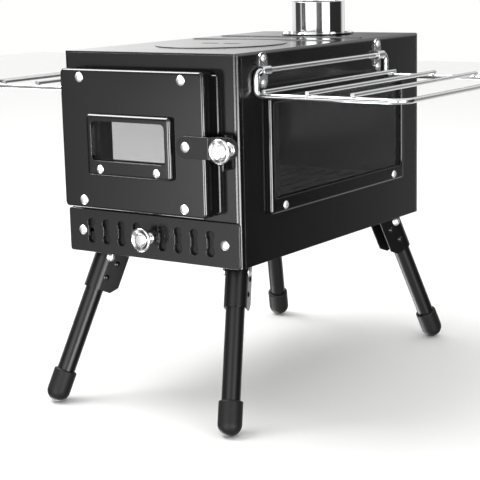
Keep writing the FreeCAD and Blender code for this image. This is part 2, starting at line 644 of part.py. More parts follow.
def damper_knob():
    reach = DAMPER_GAP + INTAKE_SHEET + SHEET + DAMPER_GAP + DAMPER_SHEET
    body = knob(KNOB_HEIGHT).fuse(disc(KNOB_SHANK, -reach - TAIL, 0)).removeSplitter()
    return on_front(body, DAMPER_KNOB_X, INTAKE_Z, INTAKE_FACE - DAMPER_GAP)


def damper_screw():
    head = dome(KNOB_SCREW_RADIUS, KNOB_SCREW_HEIGHT)
    slot = block(-9, 9, -SLOT_WIDTH * 0.7, SLOT_WIDTH * 0.7, KNOB_SCREW_HEIGHT - SLOT_DEPTH, 9)
    slot.rotate(V(0, 0, 0), V(0, 0, 1), 60)
    return on_front(head.cut(slot), DAMPER_KNOB_X, INTAKE_Z,
                    INTAKE_FACE - DAMPER_GAP - KNOB_HEIGHT + DISH_DEPTH)


# ---------------------------------------------------------------- side windows and racks
def side_frame():
    return on_right(window_frame(*SIDE_WINDOW, SIDE_SCREWS), 0, SIDE_FRAME_Z)


def side_glass():
    return on_right(window_glass(*SIDE_WINDOW), 0, SIDE_FRAME_Z)


def side_screws():
    screw = fastener(SCREW_RADIUS, SCREW_HEIGHT, SCREW_SHANK, WINDOW_PROUD + SHEET + TAIL, True)
    screws = [on_right(s, 0, SIDE_FRAME_Z, HALF_WIDTH + WINDOW_PROUD) for s in copies(screw, SIDE_SCREWS)]
    return group(screws + [on_left(s) for s in screws])


def rack_clip():
    """Saddle over the rail with a lug above and below it."""
    radius = RACK_WIRE + RAIL_PLAY
    outer = radius + CLIP_SHEET
    centre = RACK_WIRE + RAIL_PLAY
    half = CLIP_WIDTH / 2
    lug = stadium(2 * (CLIP_SCREW + CLIP_LUG), CLIP_WIDTH, 0, CLIP_SHEET)
    hump = rod(V(0, -half, centre), V(0, half, centre), outer)
    hump = hump.fuse(block(-outer, outer, -half, half, 0, centre))
    hump = hump.cut(block(-9, 9, -half, half, -9, 0))
    bore = rod(V(0, -CUTTER, centre), V(0, CUTTER, centre), radius)
    bore = bore.fuse(block(-radius, radius, -CUTTER, CUTTER, -1, centre))
    holes = copies(disc(SMALL_SHANK, -1, 9), [(-CLIP_SCREW, 0), (CLIP_SCREW, 0)])
    clip = lug.fuse(hump).cut([bore] + holes).removeSplitter()
    clip.rotate(V(0, 0, 0), V(0, 0, 1), 90)
    return clip


def rack_clips():
    return group([on_right(rack_clip(), y, RAIL_Z) for y in CLIP_PLACES])


def clip_screws():
    screw = fastener(SMALL_RADIUS, SMALL_HEIGHT, SMALL_SHANK, CLIP_SHEET + SHEET + TAIL, True)
    screws = [on_right(s, 0, 0, HALF_WIDTH + CLIP_SHEET) for s in copies(screw, CLIP_SCREWS)]
    return group(screws + [on_left(s) for s in screws])


def bent_wire(points, bends, radius):
    """Closed wire along straight runs with an arc at each corner."""
    count = len(points)
    solids = []
    starts = []
    ends = []
    for n, (corner, bend) in enumerate(zip(points, bends)):
        before = (corner - points[n - 1]).normalize()
        after = (points[(n + 1) % count] - corner).normalize()
        turn = before.getAngle(after)
        back = bend * tan(turn / 2)
        axis = before.cross(after)
        start = corner - before * back
        centre = start + axis.normalize().cross(before) * bend
        section = Part.Face(Part.Wire(Part.makeCircle(radius, start, before)))
        solids.append(section.revolve(centre, axis, degrees(turn)))
        ends.append(start)
        starts.append(corner + after * back)
    for n in range(count):
        solids.append(rod(starts[n - 1], ends[n], radius))
    return fused(solids)


def rack_frame():
    edge = HALF_WIDTH + RACK_REACH
    points = [V(RAIL_X, RACK_FRONT, RAIL_Z), V(RAIL_X, RACK_FRONT, RACK_Z), V(edge, RACK_FRONT, RACK_Z),
              V(edge, RACK_BACK, RACK_Z), V(RAIL_X, RACK_BACK, RACK_Z), V(RAIL_X, RACK_BACK, RAIL_Z)]
    bends = [RACK_BEND, RACK_BEND, RACK_CORNER, RACK_CORNER, RACK_BEND, RACK_BEND]
    return bent_wire(points, bends, RACK_WIRE)


def rack_bars(frame):
    """Bars that lie across the two arms and are welded to them."""
    z = RACK_Z + RACK_WIRE + RACK_BAR - RACK_WELD
    bars = []
    for n in range(BAR_COUNT):
        x = HALF_WIDTH + BAR_FIRST + n * BAR_PITCH
        bars.append(rod(V(x, RACK_FRONT - RACK_WIRE, z), V(x, RACK_BACK + RACK_WIRE, z), RACK_BAR).cut(frame))
    return group(bars)


# ---------------------------------------------------------------- door
def door_rivet_places():
    x = DOOR_WIDTH / 2 - DOOR_RIVET_INSET_X
    z = DOOR_HEIGHT / 2 - DOOR_RIVET_INSET_Z
    return [(sx * x, sz * z) for sx in (-1, 1) for sz in (-1, 1)]


def door_holes():
    """Through the cover and the pan, about the middle of the door."""
    x = DOOR_X
    light = window_light(*DOOR_LIGHT, CUTTER).translated(V(0, DOOR_FRAME_Z - DOOR_Z, 0))
    cutters = [light, disc(LATCH_SHANK, -CUTTER, CUTTER, LATCH_X - x, LATCH_Z - DOOR_Z)]
    cutters += copies(disc(RIVET_SHANK, -CUTTER, CUTTER), door_rivet_places())
    cutters += copies(disc(SCREW_SHANK, -CUTTER, CUTTER),
                      [(sx, sy + DOOR_FRAME_Z - DOOR_Z) for sx, sy in DOOR_SCREWS])
    return cutters


def door_cover():
    cover = plate(DOOR_WIDTH, DOOR_HEIGHT, DOOR_CORNER, -COVER_THICKNESS, 0, COVER_EDGE)
    return on_front(cover.cut(door_holes()), DOOR_X, DOOR_Z, DOOR_FACE)


def pan_inside():
    inset = 2 * (PAN_INSET + SHEET)
    return plate(DOOR_WIDTH - inset, DOOR_HEIGHT - inset, max(DOOR_CORNER - inset / 2, 0.3),
                 0, PAN_DEPTH - SHEET)


def door_pan():
    pan = plate(DOOR_WIDTH - 2 * PAN_INSET, DOOR_HEIGHT - 2 * PAN_INSET, DOOR_CORNER - PAN_INSET, 0, PAN_DEPTH)
    return on_front(pan.cut([pan_inside()] + door_holes()), DOOR_X, DOOR_Z, PAN_BACK)


def door_gasket(tails):
    """Rope seal that fills the edge of the pan."""
    inset = 2 * (PAN_INSET + SHEET + GASKET_WIDTH)
    ring = pan_inside().cut(plate(DOOR_WIDTH - inset, DOOR_HEIGHT - inset, 3.0, -1, PAN_DEPTH))
    return on_front(ring, DOOR_X, DOOR_Z, PAN_BACK).cut(tails)


def door_rivets():
    rivet = fastener(RIVET_RADIUS, RIVET_HEIGHT, RIVET_SHANK, COVER_THICKNESS + SHEET + TAIL)
    return group([on_front(r, DOOR_X, DOOR_Z, DOOR_FACE) for r in copies(rivet, door_rivet_places())])


def door_frame():
    return on_front(window_frame(*DOOR_WINDOW, DOOR_SCREWS), DOOR_X, DOOR_FRAME_Z, DOOR_FACE)


def door_glass():
    return on_front(window_glass(*DOOR_WINDOW), DOOR_X, DOOR_FRAME_Z, DOOR_FACE)


def door_frame_screws():
    screw = fastener(SCREW_RADIUS, SCREW_HEIGHT, SCREW_SHANK,
                     WINDOW_PROUD + COVER_THICKNESS + SHEET + TAIL, True)
    return group([on_front(s, DOOR_X, DOOR_FRAME_Z, DOOR_FACE - WINDOW_PROUD)
                  for s in copies(screw, DOOR_SCREWS)])


HINGE_PLACES = (DOOR_Z - HINGE_SPACING / 2, DOOR_Z + HINGE_SPACING / 2)


def body_knuckles():
    """Lower half of each hinge, welded to the front panel; each holds a pin."""
    knuckles = []
    for z in HINGE_PLACES:
        low, high = z - BODY_KNUCKLE, z
        barrel = disc(HINGE_BARREL, low, high, HINGE_X, HINGE_Y)
        leaf = block(HINGE_X - HINGE_BARREL, HINGE_X - HINGE_BARREL + HINGE_LEAF, HINGE_Y, FRONT, low, high)
        foot = block(HINGE_X - HINGE_BARREL, HINGE_X + HINGE_BARREL, FRONT - HINGE_LEAF, FRONT, low, high)
        body = fused([barrel, leaf, foot]).cut(disc(HINGE_PIN, low - 1, high + 1, HINGE_X, HINGE_Y))
        knuckles.append(body)
    return group(knuckles)


def hinge_pins():
    pins = []
    for z in HINGE_PLACES:
        top = z + KNUCKLE_GAP + DOOR_KNUCKLE + PIN_END
        pins.append(disc(HINGE_PIN, z - BODY_KNUCKLE - PIN_END, top, HINGE_X, HINGE_Y))
    return group(pins)


def door_knuckles():
    knuckles = []
    for z in HINGE_PLACES:
        low, high = z + KNUCKLE_GAP, z + KNUCKLE_GAP + DOOR_KNUCKLE
        barrel = disc(HINGE_BARREL, low, high, HINGE_X, HINGE_Y)
        leaf = block(HINGE_X, DOOR_LEFT + PAN_INSET, HINGE_Y - HINGE_BARREL,
                     HINGE_Y - HINGE_BARREL + HINGE_LEAF, low, high)
        bore = disc(HINGE_PIN + HINGE_PLAY, low - 1, high + 1, HINGE_X, HINGE_Y)
        knuckles.append(fused([barrel, leaf]).cut(bore))
    return group(knuckles)


# ---------------------------------------------------------------- latch
def latch_strap():
    """Strap folded back past the edge of the door; drawn about its pivot."""
    end = LATCH_REACH + LATCH_END
    start = -LATCH_WIDTH / 2
    half = LATCH_WIDTH / 2
    low, high = LATCH_GAP, STRAP_TOP
    lag = LATCH_SHEET * tan(radians(22.5))
    corners = [(start, low), (LATCH_FLAT, low), (LATCH_FLAT + LATCH_STEP, low - LATCH_STEP),
               (end, low - LATCH_STEP), (end, high - LATCH_STEP),
               (LATCH_FLAT + LATCH_STEP + lag, high - LATCH_STEP), (LATCH_FLAT + lag, high), (start, high)]
    outline = Part.makePolygon([V(x, -half, z) for x, z in corners + corners[:1]])
    strap = Part.Face(outline).extrude(V(0, LATCH_WIDTH, 0))
    folds = [e for e in strap.Edges if e.BoundBox.YLength > 1
             and LATCH_FLAT - 0.1 < e.BoundBox.Center.x < LATCH_FLAT + LATCH_STEP + lag + 0.1]
    strap = strap.makeFillet(LATCH_FOLD, folds)
    blank = stadium(end - start, LATCH_WIDTH, -CUTTER, CUTTER, (start + end) / 2)
    strap = strap.common(blank).removeSplitter()
    fronts = [f for f in strap.Faces if f.normalAt(*f.Surface.parameter(f.CenterOfMass)).z > 0.3]
    rim = [e for f in fronts for e in f.Edges if e.BoundBox.XLength > 0.01]
    strap = strap.makeFillet(SHEET_EDGE, rim)
    holes = [disc(LATCH_SHANK + LATCH_PLAY, -CUTTER, CUTTER), disc(KNOB_SHANK, -CUTTER, CUTTER, LATCH_REACH)]
    return on_front(strap.cut(holes), LATCH_X, LATCH_Z, DOOR_FACE)


def latch_rivet():
    above = STRAP_TOP + LATCH_GAP
    rivet = fastener(RIVET_RADIUS, RIVET_HEIGHT, LATCH_SHANK, above + COVER_THICKNESS + SHEET + TAIL)
    return on_front(rivet, LATCH_X, LATCH_Z, DOOR_FACE - above)


def latch_knob():
    body = knob(LATCH_KNOB_HEIGHT).fuse(disc(KNOB_SHANK, -LATCH_SHEET - TAIL, 0)).removeSplitter()
    return on_front(body, LATCH_X + LATCH_REACH, LATCH_Z, DOOR_FACE - KNOB_SEAT)


def latch_screw():
    head = dome(KNOB_SCREW_RADIUS, KNOB_SCREW_HEIGHT)
    return on_front(head, LATCH_X + LATCH_REACH, LATCH_Z,
                    DOOR_FACE - KNOB_SEAT - LATCH_KNOB_HEIGHT + DISH_DEPTH)


def latch_keeper():
    """Folded bracket: foot on the front panel, shelf under the strap and a stop behind it."""
    left = DOOR_RIGHT + KEEPER_OFFSET
    right = left + KEEPER_WIDTH
    top = LATCH_Z + KEEPER_TOP
    bottom = LATCH_Z - KEEPER_BOTTOM
    shelf = LATCH_Z - LATCH_WIDTH / 2 - KEEPER_GAP
    strap_back = DOOR_FACE - LATCH_GAP + LATCH_STEP
    lip = strap_back - LATCH_SHEET - KEEPER_SHELF
    side = right - KEEPER_SHEET
    bracket = fused([block(left, right, FRONT - KEEPER_SHEET, FRONT, bottom, top),
                     block(left, right, lip, FRONT, shelf - KEEPER_SHEET, shelf),
                     block(side, right, lip, FRONT, bottom, shelf),
                     block(side, right, strap_back + KEEPER_GAP, FRONT, bottom, top)])
    holes = [on_front(disc(SMALL_SHANK, -CUTTER, CUTTER), x, z) for x, z in keeper_rivets()]
    return bracket.cut(holes)


def keeper_fasteners():
    rivet = fastener(SMALL_RADIUS, SMALL_HEIGHT, SMALL_SHANK, KEEPER_SHEET + SHEET + TAIL)
    return group([on_front(rivet, x, z, FRONT - KEEPER_SHEET) for x, z in keeper_rivets()])


# ---------------------------------------------------------------- legs
def leg_axes(side):
    """Outward, pivot and upward directions of a front leg."""
    toe, splay = radians(LEG_TOE), radians(LEG_SPLAY)
    level = V(side * sin(toe), -cos(toe), 0)
    outward = level * cos(splay) + V(0, 0, sin(splay))
    upward = V(0, 0, cos(splay)) - level * sin(splay)
    return outward, upward.cross(outward), upward


def leg_placed(shape, side):
    return placed(shape, *leg_axes(side), V(side * LEG_X, -LEG_Y, PIVOT_Z))


def leg_tube():
    """Tube with a closed round top that turns about the pivot inside its bracket."""
    outer = disc(LEG_RADIUS, -TUBE_LENGTH, 0).fuse(Part.makeSphere(LEG_RADIUS))
    inner = disc(LEG_RADIUS - LEG_WALL, -TUBE_LENGTH - 1, 0).fuse(Part.makeSphere(LEG_RADIUS - LEG_WALL))
    hole = rod(V(0, -CUTTER, 0), V(0, CUTTER, 0), PIVOT_RADIUS + PIVOT_PLAY)
    return outer.removeSplitter().cut([inner.removeSplitter(), hole])


def foot():
    """Rubber boot with a round end."""
    top = -LEG_LENGTH + FOOT_LENGTH - FOOT_RADIUS
    boot = disc(FOOT_RADIUS, -LEG_LENGTH, top)
    rim = [e for e in boot.Edges if e.BoundBox.ZMin > top - 0.01]
    boot = boot.makeFillet(FOOT_EDGE, rim).fuse(Part.makeSphere(FOOT_RADIUS, V(0, 0, -LEG_LENGTH)))
    return boot.removeSplitter().cut(disc(LEG_RADIUS, top - FOOT_SOCKET, top + 1))


def leg_bracket(side):
    """Channel open to the inside, folded round the leg, on a base under the floor."""
    below = -BRACKET_LENGTH
    above = 2 * LEG_PIVOT_DROP + 2 * BRACKET_REACH
    profile = disc(BRACKET_OUTER, below, above)
    profile = profile.fuse(block(-BRACKET_REACH, 0, -BRACKET_OUTER, BRACKET_OUTER, below, above))
    hollow = disc(BRACKET_INNER, below - 1, above + 1)
    hollow = hollow.fuse(block(-BRACKET_REACH - CUTTER, 0, -BRACKET_INNER, BRACKET_INNER, below - 1, above + 1))
    tip = V(-BRACKET_REACH - 1, -CUTTER, below - 1)
    leg = BRACKET_CHAMFER + 2
    edge = Part.makePolygon([tip, tip + V(0, 0, leg), tip + V(leg, 0, 0), tip])
    corner = Part.Face(edge).extrude(V(0, 2 * CUTTER, 0))
    bolt = rod(V(0, -CUTTER, 0), V(0, CUTTER, 0), PIVOT_RADIUS)
    channel = leg_placed(profile.cut(corner), side)
    ceiling = block(-BODY_WIDTH, BODY_WIDTH, -BODY_LENGTH, BODY_LENGTH, FLOOR - BRACKET_SHEET, TOP)
    channel = channel.cut([ceiling])
    level = V(side * sin(radians(LEG_TOE)), -cos(radians(LEG_TOE)), 0)
    base = plate(BRACKET_BASE_LENGTH, BRACKET_BASE_WIDTH, 3.0, FLOOR - BRACKET_SHEET, FLOOR)
    shift = (FLOOR - PIVOT_Z) * tan(radians(LEG_SPLAY)) + (BRACKET_REACH - BRACKET_OUTER) / 2
    base = placed(base, level, V(0, 0, 1).cross(level), V(0, 0, 1),
                  V(side * LEG_X, -LEG_Y, 0) - level * shift)
    void = leg_placed(hollow, side).cut([ceiling])
    return fused([channel, base]).cut([void, leg_placed(bolt, side)]).removeSplitter()


def leg_pivot(side):
    """Bolt through the cheeks and the leg, with its nut."""
    reach = 2 * BRACKET_OUTER
    bolt = fastener(PIVOT_HEAD, PIVOT_HEAD_HEIGHT, PIVOT_RADIUS, reach + TAIL, True)
    nut = disc(PIVOT_HEAD, -reach - TAIL, -reach)
    bolt = bolt.fuse(nut).removeSplitter().translated(V(0, 0, BRACKET_OUTER))
    bolt = placed(bolt, V(0, 0, -1), V(-1, 0, 0), V(0, 1, 0), V(0, 0, 0))
    return leg_placed(bolt, side)


def leg_studs(side):
    studs = []
    for inward, along in (STUD_UPPER, STUD_LOWER):
        stud = placed(dome(STUD_RADIUS, STUD_HEIGHT), V(0, 0, -1), V(-1, 0, 0), V(0, 1, 0),
                      V(-inward, BRACKET_OUTER, along))
        studs.append(leg_placed(stud, side))
    return studs


# ---------------------------------------------------------------- all of it
def build():
    hollow = firebox_solid(0.0).cut(firebox_solid(SHEET))
    frame = rack_frame()
    rivets = door_rivets()
    window_screws = door_frame_screws()
    pivots = [leg_pivot(side) for side in (-1, 1)]
    studs = leg_studs(-1) + leg_studs(1)
    nodes = {
        "firebox_shell": firebox_shell(hollow),
        "front_panel": front_panel(hollow),
        "back_panel": hollow.common(at_back(front_region())),
        "floor_plate": floor_plate(),
        "fire_grate": grate(),
        "grate_ledges": grate_ledges(),
        "door_seat": door_seat(),
        "hotplate_seat": lid_seat(),
        "hotplate_lid": hotplate_lid(),
        "flue_collar": flue_collar(),
        "flue_flange": flue_flange(),
        "flue_screws": flue_screws(),
        "intake_panel": intake_panel(),
        "intake_rivets": intake_rivets(),
        "damper": damper(),
        "damper_knob": damper_knob(),
        "damper_screw": damper_screw(),
        "side_frame_right": side_frame(),
        "side_frame_left": on_left(side_frame()),
        "side_glass_right": side_glass(),
        "side_glass_left": on_left(side_glass()),
        "side_frame_screws": side_screws(),
        "rack_clips_right": rack_clips(),
        "rack_clips_left": on_left(rack_clips()),
        "rack_clip_screws": clip_screws(),
        "rack_frame_right": frame,
        "rack_frame_left": on_left(frame),
        "rack_bars_right": rack_bars(frame),
        "rack_bars_left": on_left(rack_bars(frame)),
        "door_cover": door_cover(),
        "door_pan": door_pan(),
        "door_gasket": door_gasket([rivets, window_screws]),
        "door_rivets": rivets,
        "door_window_frame": door_frame(),
        "door_glass": door_glass(),
        "door_window_screws": window_screws,
        "hinge_lugs": body_knuckles(),
        "hinge_pins": hinge_pins(),
        "door_knuckles": door_knuckles(),
        "latch_strap": latch_strap(),
        "latch_rivet": latch_rivet(),
        "latch_knob": latch_knob(),
        "latch_knob_cap": latch_screw(),
        "latch_keeper": latch_keeper(),
        "keeper_rivets": keeper_fasteners(),
        "leg_pivots": group(pivots + [at_back(p) for p in pivots]),
        "bracket_studs": group(studs + [at_back(s) for s in studs]),
    }
    for name, side in (("left", -1), ("right", 1)):
        for end, place in (("front", lambda s: s), ("rear", at_back)):
            nodes[f"leg_bracket_{end}_{name}"] = place(leg_bracket(side))
            nodes[f"leg_tube_{end}_{name}"] = place(leg_placed(leg_tube(), side))
            nodes[f"foot_{end}_{name}"] = place(leg_placed(foot(), side))
    return nodes


os.makedirs("parts", exist_ok=True)
for node, shape in build().items():
    shape.exportStep(f"parts/{node}.step")
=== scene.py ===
import bpy
import bmesh
import json
from math import cos, pi, radians, sin
from mathutils import Matrix, Vector


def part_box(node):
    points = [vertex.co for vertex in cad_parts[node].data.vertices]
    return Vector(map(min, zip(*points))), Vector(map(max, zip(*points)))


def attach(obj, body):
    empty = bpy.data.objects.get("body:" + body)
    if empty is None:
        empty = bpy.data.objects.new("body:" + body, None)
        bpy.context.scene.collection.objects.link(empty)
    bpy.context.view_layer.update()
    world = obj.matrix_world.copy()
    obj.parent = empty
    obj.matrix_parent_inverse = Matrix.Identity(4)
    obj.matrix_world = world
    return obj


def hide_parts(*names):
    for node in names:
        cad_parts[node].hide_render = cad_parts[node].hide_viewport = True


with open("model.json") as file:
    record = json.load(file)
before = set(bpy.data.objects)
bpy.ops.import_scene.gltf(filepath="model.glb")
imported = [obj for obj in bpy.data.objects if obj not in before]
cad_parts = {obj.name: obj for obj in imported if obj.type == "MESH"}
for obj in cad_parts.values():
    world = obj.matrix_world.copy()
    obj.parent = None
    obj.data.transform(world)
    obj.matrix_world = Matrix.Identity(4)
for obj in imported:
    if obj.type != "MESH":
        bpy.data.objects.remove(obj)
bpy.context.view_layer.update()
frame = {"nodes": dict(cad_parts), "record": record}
nodes = frame["nodes"]
scene = bpy.context.scene
print("frame loaded,", len(nodes), "nodes")


# a Wire is a shader socket that takes part in sums
class Wire:
    def __init__(self, graph, socket):
        self.graph = graph
        self.socket = socket

    def maths(self, operation, *values):
        sockets = dict(enumerate(values))
        return self.graph.node("ShaderNodeMath", {"operation": operation}, sockets)

    def __add__(self, other):
        return self.maths("ADD", self, other)

    def __radd__(self, other):
        return self.maths("ADD", other, self)

    def __sub__(self, other):
        return self.maths("SUBTRACT", self, other)

    def __rsub__(self, other):
        return self.maths("SUBTRACT", other, self)

    def __mul__(self, other):
        return self.maths("MULTIPLY", self, other)

    def __rmul__(self, other):
        return self.maths("MULTIPLY", other, self)


class Graph:
    def __init__(self, tree):
        self.tree = tree

    def feed(self, socket, value):
        if isinstance(value, Wire):
            self.tree.links.new(value.socket, socket)
        else:
            socket.default_value = value

    def setStops(self, ramp, stops):
        for n, (position, colour) in enumerate(stops):
            stop = ramp.elements[n] if n < 2 else ramp.elements.new(position)  # a new ramp has two
            stop.position = position
            stop.color = colour

    def node(self, kind, settings, sockets, out=0):
        made = self.tree.nodes.new(kind)
        for name, value in settings.items():
            if name == "stops":
                self.setStops(made.color_ramp, value)
            else:
                setattr(made, name, value)
        for name, value in sockets.items():
            self.feed(made.inputs[name], value)
        return Wire(self, made.outputs[out])

    def mixed(self, factor, first, second):
        # a Mix node keeps its colour sockets at 6 and 7, and its colour out at 2
        return self.node("ShaderNodeMix", {"data_type": "RGBA"}, {0: factor, 6: first, 7: second}, 2)


class Finish(Graph):
    # one material; its shader's sockets are set by name
    def __init__(self, name, sockets):
        self.material = bpy.data.materials.new(name)
        self.material.use_nodes = True
        super().__init__(self.material.node_tree)
        self.shader = self.tree.nodes["Principled BSDF"]
        self.set(sockets)
        self.place = self.node("ShaderNodeTexCoord", {}, {}, "Object")

    def set(self, sockets):
        for name, value in sockets.items():
            self.feed(self.shader.inputs[name], value)

    def noise(self, size, detail=2.0, stretch=(1.0, 1.0, 1.0)):
        # size is the width of a blotch in metres
        vector = self.node("ShaderNodeMapping", {}, {"Vector": self.place, "Scale": stretch})
        return self.node("ShaderNodeTexNoise", {}, {
            "Vector": vector, "Scale": 1.0 / size, "Detail": detail})

    def spread(self, value, low, high):
        # from 0..1 to low..high
        return value * (high - low) + low

    def bump(self, height, depth, normal=None):
        sockets = {"Height": height, "Distance": depth, "Strength": 1.0}
        if normal:
            sockets["Normal"] = normal
        self.set({"Normal": self.node("ShaderNodeBump", {}, sockets)})

    def softEdge(self, radius, samples=8):
        return self.node("ShaderNodeBevel", {"samples": samples}, {"Radius": radius})


def grey(value):
    return (value, value, value * 1.01, 1.0)


# in the finishes dark, light and tone are levels of grey, rough runs from the smoothest place to the
# roughest, edge is how far the light rounds an edge, and widths and depths are in metres
stovePaint = {"dark": 0.0028, "light": 0.0045, "rough": (0.16, 0.21), "shine": 0.5, "cloud": 0.05,
              "grain": 0.0012, "depth": 0.0000012, "edge": 0.0004}


def heatPaint(name, **changes):
    # satin stove enamel
    paint = {**stovePaint, **changes}
    finish = Finish(name, {"Specular IOR Level": paint["shine"]})
    cloud = finish.noise(paint["cloud"], detail=4.0)
    speck = finish.noise(paint["grain"])
    finish.set({"Base Color": finish.mixed(cloud, grey(paint["dark"]), grey(paint["light"])),
                "Roughness": finish.spread(cloud * 0.8 + speck * 0.2, *paint["rough"])})
    finish.bump(speck, paint["depth"], finish.softEdge(paint["edge"]))
    return finish.material


polish = {"smear": 0.02, "dull": 0.95, "depth": 0.0000008, "edge": 0.0003}


def brightMetal(name, tone, rough, grain, stretch=(1.0, 1.0, 1.0)):
    # grain is the width of the polishing marks, drawn out along the axis with the smallest stretch
    finish = Finish(name, {"Metallic": 1.0})
    streak = finish.noise(grain, detail=3.0, stretch=stretch)
    smear = finish.noise(polish["smear"])
    finish.set({"Base Color": finish.mixed(smear, grey(tone * polish["dull"]), grey(tone)),
                "Roughness": finish.spread(streak * 0.5 + smear * 0.5, *rough)})
    finish.bump(streak, polish["depth"], finish.softEdge(polish["edge"]))
    return finish.material


pane = {"tone": 0.67, "light": 0.6968, "ior": 1.22, "film": 0.07, "rough": (0.0, 0.05)}


def smokedGlass(name):
    # a faint film of smoke lies on the panes
    finish = Finish(name, {"Transmission Weight": 1.0, "IOR": pane["ior"]})
    film = finish.noise(pane["film"], detail=4.0)
    finish.set({"Base Color": finish.mixed(film, grey(pane["tone"]), grey(pane["light"])),
                "Roughness": finish.spread(film, *pane["rough"])})
    return finish.material


rope = {"dark": 0.08, "light": 0.4, "rough": 0.9, "strands": 180.0, "waver": 1.2, "hair": 0.0004,
        "depth": 0.0005}


def ropeSeal(name):
    # braided glass rope: two sets of strands cross on the slant
    finish = Finish(name, {"Roughness": rope["rough"]})
    strands = []
    for slant in (pi / 4, -pi / 4):
        turned = finish.node("ShaderNodeMapping", {}, {
            "Vector": finish.place, "Rotation": (0.0, slant, 0.0)})
        strands.append(finish.node("ShaderNodeTexWave", {"bands_direction": "X"}, {
            "Vector": turned, "Scale": rope["strands"], "Distortion": rope["waver"], "Detail": 1.0}, "Fac"))
    weave = strands[0].maths("MAXIMUM", *strands)
    hair = finish.noise(rope["hair"])
    colour = finish.mixed(weave * 0.7 + hair * 0.3, grey(rope["dark"]), grey(rope["light"]))
    finish.set({"Base Color": colour})
    finish.bump(weave * 0.8 + hair * 0.2, rope["depth"])
    return finish.material


rubber = {"dark": 0.006, "light": 0.011, "rough": (0.44, 0.58), "shine": 0.2, "skin": 0.0009, "bloom": 0.02,
          "depth": 0.00003, "edge": 0.0005}


def footRubber(name):
    finish = Finish(name, {"Specular IOR Level": rubber["shine"]})
    skin = finish.noise(rubber["skin"])
    bloom = finish.noise(rubber["bloom"], detail=3.0)
    finish.set({"Base Color": finish.mixed(bloom, grey(rubber["dark"]), grey(rubber["light"])),
                "Roughness": finish.spread(skin * 0.5 + bloom * 0.5, *rubber["rough"])})
    finish.bump(skin, rubber["depth"], finish.softEdge(rubber["edge"]))
    return finish.material


iron = {"dark": 0.03, "light": 0.09, "rough": (0.55, 0.75), "metal": 0.6, "scale": 0.004, "depth": 0.0001}


def rawIron(name):
    finish = Finish(name, {"Metallic": iron["metal"]})
    scale = finish.noise(iron["scale"], detail=4.0)
    finish.set({"Base Color": finish.mixed(scale, grey(iron["dark"]), grey(iron["light"])),
                "Roughness": finish.spread(scale, *iron["rough"])})
    finish.bump(scale, iron["depth"])
    return finish.material


finishes = {
    "body_paint": heatPaint("stovePaint"),
    "door_paint": heatPaint("doorPaint"),
    "frame_paint": heatPaint("framePaint", edge=0.003),
    "leg_paint": heatPaint("legPaint", shine=0.32, rough=(0.3, 0.38)),
    "bracket_paint": heatPaint("bracketPaint", shine=0.3, rough=(0.28, 0.36)),
    "dark_screw": heatPaint("darkScrew"),
    "polished_steel": brightMetal("polishedSteel", 0.82, (0.04, 0.1), 0.0012, (1, 1, 0.05)),
    "bright_steel": brightMetal("wireSteel", 0.75, (0.16, 0.24), 0.0008),
    "knob_chrome": brightMetal("knobChrome", 0.74, (0.12, 0.17), 0.0006),
    "screw_steel": brightMetal("screwSteel", 0.95, (0.36, 0.46), 0.0006),
    "grate_iron": rawIron("grateIron"),
    "stove_glass": smokedGlass("stoveGlass"),
    "rope_seal": ropeSeal("ropeSeal"),
    "foot_rubber": footRubber("footRubber"),
}
# nodes whose paint or edges differ from the rest of their slot
ownPaint = {"intake_panel": heatPaint("intakePaint", edge=0.0012, rough=(0.24, 0.3)),
            "latch_strap": heatPaint("strapPaint", edge=0.0002, rough=(0.36, 0.44)),
            "damper": heatPaint("damperPaint", shine=0.42, rough=(0.42, 0.52))}
slotOf = {part["node"]: part["material_slot"] for part in frame["record"]["subparts"]}
for name, node in nodes.items():
    node.data.materials.clear()
    node.data.materials.append(ownPaint.get(name, finishes[slotOf[name]]))
print("finishes on the frame")


def addPiece(name, mesh, paint, body, replaced=(), crease=35):
    # edges that turn by crease degrees or more stay sharp
    for face in mesh.faces:
        face.smooth = True
    for edge in mesh.edges:
        edge.smooth = edge.calc_face_angle(0.0) < radians(crease)
    data = bpy.data.meshes.new(name)
    mesh.to_mesh(data)
    mesh.free()
    data.materials.append(paint)
    piece = bpy.data.objects.new(name, data)
    scene.collection.objects.link(piece)
    level = piece.modifiers.new("levelled", "WEIGHTED_NORMAL")
    level.keep_sharp = True
    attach(piece, body)
    if replaced:
        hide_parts(*replaced)


# pressed plates: bands are the widths left, right, below and above the window, corner and
# windowCorner are radii, roll is how far the outer edge turns over, lip how far the window's does
doorCover = {"bands": (0.0405, 0.0404, 0.047, 0.0471), "corner": 0.005, "windowCorner": 0.005,
             "roll": 0.0029, "lip": 0}
doorFrame = {"bands": (0.0062, 0.0062, 0.0143, 0.0064), "corner": 0.0034, "windowCorner": 0.005,
             "roll": 0.0031, "lip": 0.0003}
seatRing = {"bands": (0.0145, 0.023, 0.0125, 0.0125), "corner": 0.002, "windowCorner": 0.005,
            "roll": 0.0012, "lip": 0.0005}
sideFrame = {"bands": (0.0052, 0.0052, 0.0143, 0.006), "corner": 0.0034, "windowCorner": 0.005,
             "roll": 0.0028, "lip": 0.0009}
plateSteps = {"corner": 8, "roll": 8, "lip": 4}


def openFace(mesh):
    # takes away the one face with many corners and gives its edges
    face = max(mesh.faces, key=lambda each: len(each.verts))
    edges = list(face.edges)
    bmesh.ops.delete(mesh, geom=[face], context="FACES_ONLY")
    return edges


